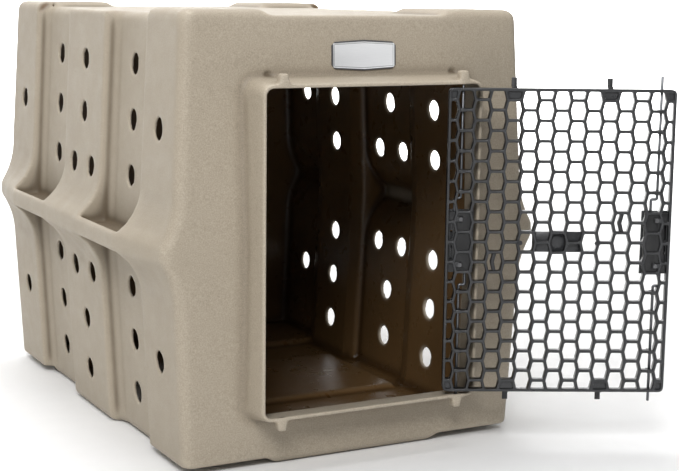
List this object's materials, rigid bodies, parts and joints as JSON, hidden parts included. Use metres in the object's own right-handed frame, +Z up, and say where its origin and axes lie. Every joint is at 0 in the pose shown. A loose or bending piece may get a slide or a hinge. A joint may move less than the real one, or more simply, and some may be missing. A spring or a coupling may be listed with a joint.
{
  "type": "travel dog kennel",
  "caption": "One-piece moulded travel kennel for a dog, open at the front through a rimmed doorway, with a honeycomb swing door held by spring-loaded rods.",
  "frame": {"origin": "on the floor under the middle of the moulded body", "axes": "+Z up; the doorway faces -Y; +X to the right for someone looking in through the doorway, the side the door hangs on"},
  "size_m": [0.7078, 0.9294, 0.614],
  "materials": {
    "tan_polyethylene": "fine pebble texture, low sheen",
    "charcoal_plastic": "satin moulded",
    "black_plastic": "satin",
    "black_strip": "black coated strip",
    "rod_steel": "dull zinc",
    "spring_steel": "drawn wire",
    "screw_steel": "zinc plated",
    "silver_plate": "satin with a dark line around the edge"
  },
  "bodies": {
    "shell": {"body_shell": "tan_polyethylene", "nameplate": "silver_plate"},
    "door": {"door_panel": "charcoal_plastic", "centre_plate": "charcoal_plastic", "latch_case_hinge": "charcoal_plastic", "latch_cover_hinge": "charcoal_plastic", "latch_screws_hinge": "screw_steel", "guide_pin_hinge": "black_plastic", "hook_clip_hinge": "black_plastic", "stop_tab_upper_hinge": "black_strip", "spring_upper_hinge": "spring_steel", "stop_tab_lower_hinge": "black_strip", "spring_lower_hinge": "spring_steel", "latch_case_free": "charcoal_plastic", "latch_cover_free": "charcoal_plastic", "latch_screws_free": "screw_steel", "guide_pin_free": "black_plastic", "hook_clip_free": "black_plastic", "stop_tab_upper_free": "black_strip", "spring_upper_free": "spring_steel", "stop_tab_lower_free": "black_strip", "spring_lower_free": "spring_steel"},
    "upper_hinge_rod": {"rod_upper_hinge": "rod_steel", "slider_upper_hinge": "black_plastic"},
    "lower_hinge_rod": {"rod_lower_hinge": "rod_steel", "slider_lower_hinge": "black_plastic"},
    "upper_free_rod": {"rod_upper_free": "rod_steel", "slider_upper_free": "black_plastic"},
    "lower_free_rod": {"rod_lower_free": "rod_steel", "slider_lower_free": "black_plastic"}
  },
  "joints": [
    {"name": "door_hinge", "type": "hinge", "parent": "shell", "child": "door", "pos_m": [0.1365, -0.414, 0.297], "axis": [0, 0, 1], "range_deg": [-153.6, 0.5]},
    {"name": "upper_hinge_rod_slide", "type": "slide", "parent": "door", "child": "upper_hinge_rod", "axis": [0, 0, -1], "range_m": [0, 0.0155], "stiffness_N_per_m": 150, "springref_m": -0.02, "deforming": ["spring_upper_hinge"]},
    {"name": "lower_hinge_rod_slide", "type": "slide", "parent": "door", "child": "lower_hinge_rod", "axis": [0, 0, 1], "range_m": [0, 0.0155], "stiffness_N_per_m": 150, "springref_m": -0.02, "deforming": ["spring_lower_hinge"]},
    {"name": "upper_free_rod_slide", "type": "slide", "parent": "door", "child": "upper_free_rod", "axis": [0, 0, -1], "range_m": [0, 0.0155], "stiffness_N_per_m": 150, "springref_m": -0.02, "deforming": ["spring_upper_free"]},
    {"name": "lower_free_rod_slide", "type": "slide", "parent": "door", "child": "lower_free_rod", "axis": [0, 0, 1], "range_m": [0, 0.0155], "stiffness_N_per_m": 150, "springref_m": -0.02, "deforming": ["spring_lower_free"]}
  ]
}
